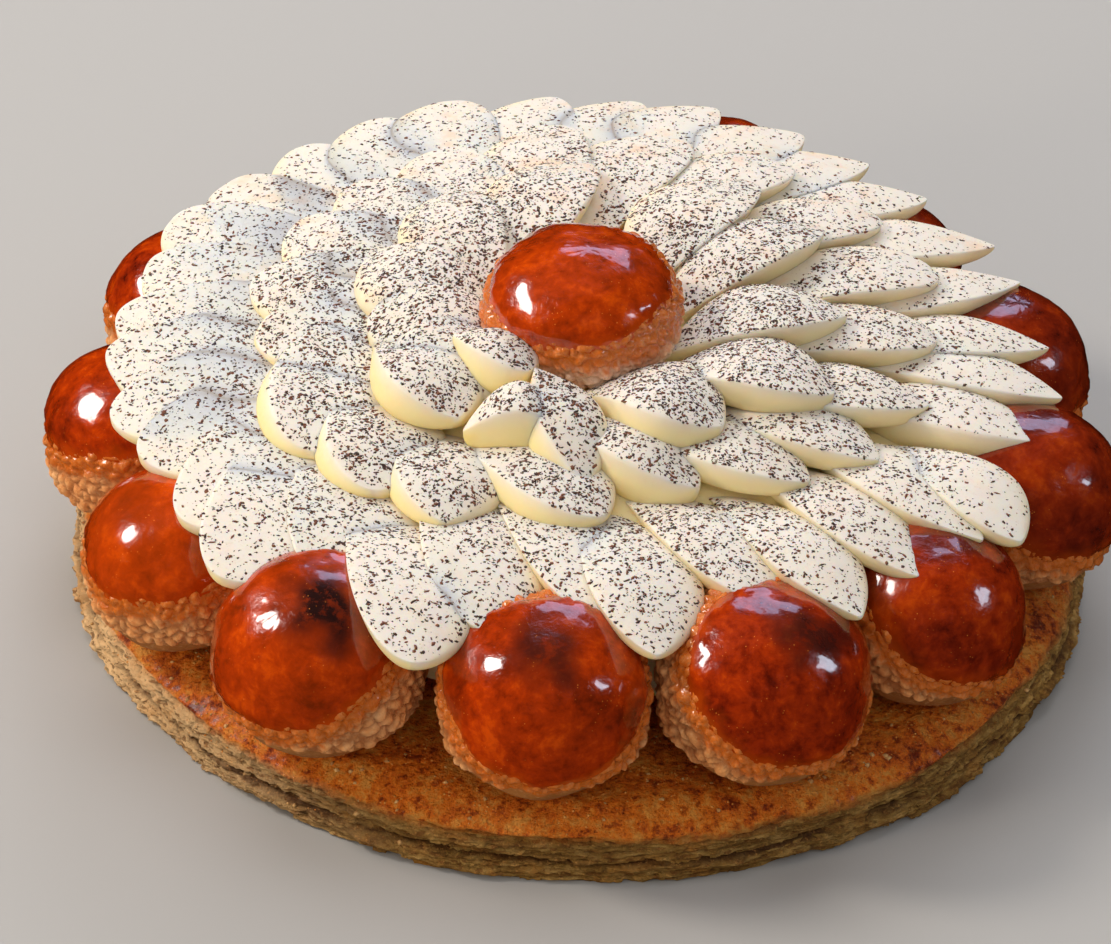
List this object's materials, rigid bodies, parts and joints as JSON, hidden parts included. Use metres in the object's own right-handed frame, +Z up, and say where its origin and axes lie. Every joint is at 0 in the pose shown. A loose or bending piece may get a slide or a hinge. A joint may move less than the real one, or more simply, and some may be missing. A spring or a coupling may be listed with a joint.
{
  "type": "saint-honore cake",
  "caption": "Round saint-honore cake: flaky pastry disc, ring of caramel-glazed choux puffs, and piped whipped cream petals dusted with cocoa round a single puff on top.",
  "frame": {"origin": "middle of the pastry disc's underside, which the cake rests on", "axes": "+Z up, -Y towards the front of the cake, +X to its right seen from the front"},
  "size_m": [0.2521, 0.2467, 0.0865],
  "materials": {
    "pastry": "baked puff pastry, flaky golden-brown side and darker caramelised top",
    "choux": "baked choux with a cracked, crumbly crust",
    "caramel": "hard clear red-brown caramel, glossy",
    "cream": "smooth whipped cream with a soft satin surface",
    "cocoa": "dry cocoa and chocolate flecks"
  },
  "bodies": {
    "root": {"pastry_disc": "pastry", "cream": "cream", "puff_01": "caramel", "puff_02": "caramel", "puff_03": "caramel", "puff_04": "caramel", "puff_05": "caramel", "puff_06": "caramel", "puff_07": "caramel", "puff_08": "caramel", "puff_09": "caramel", "puff_10": "caramel", "puff_11": "caramel", "puff_12": "caramel", "puff_13": "caramel", "puff_top": "caramel"}
  },
  "joints": []
}
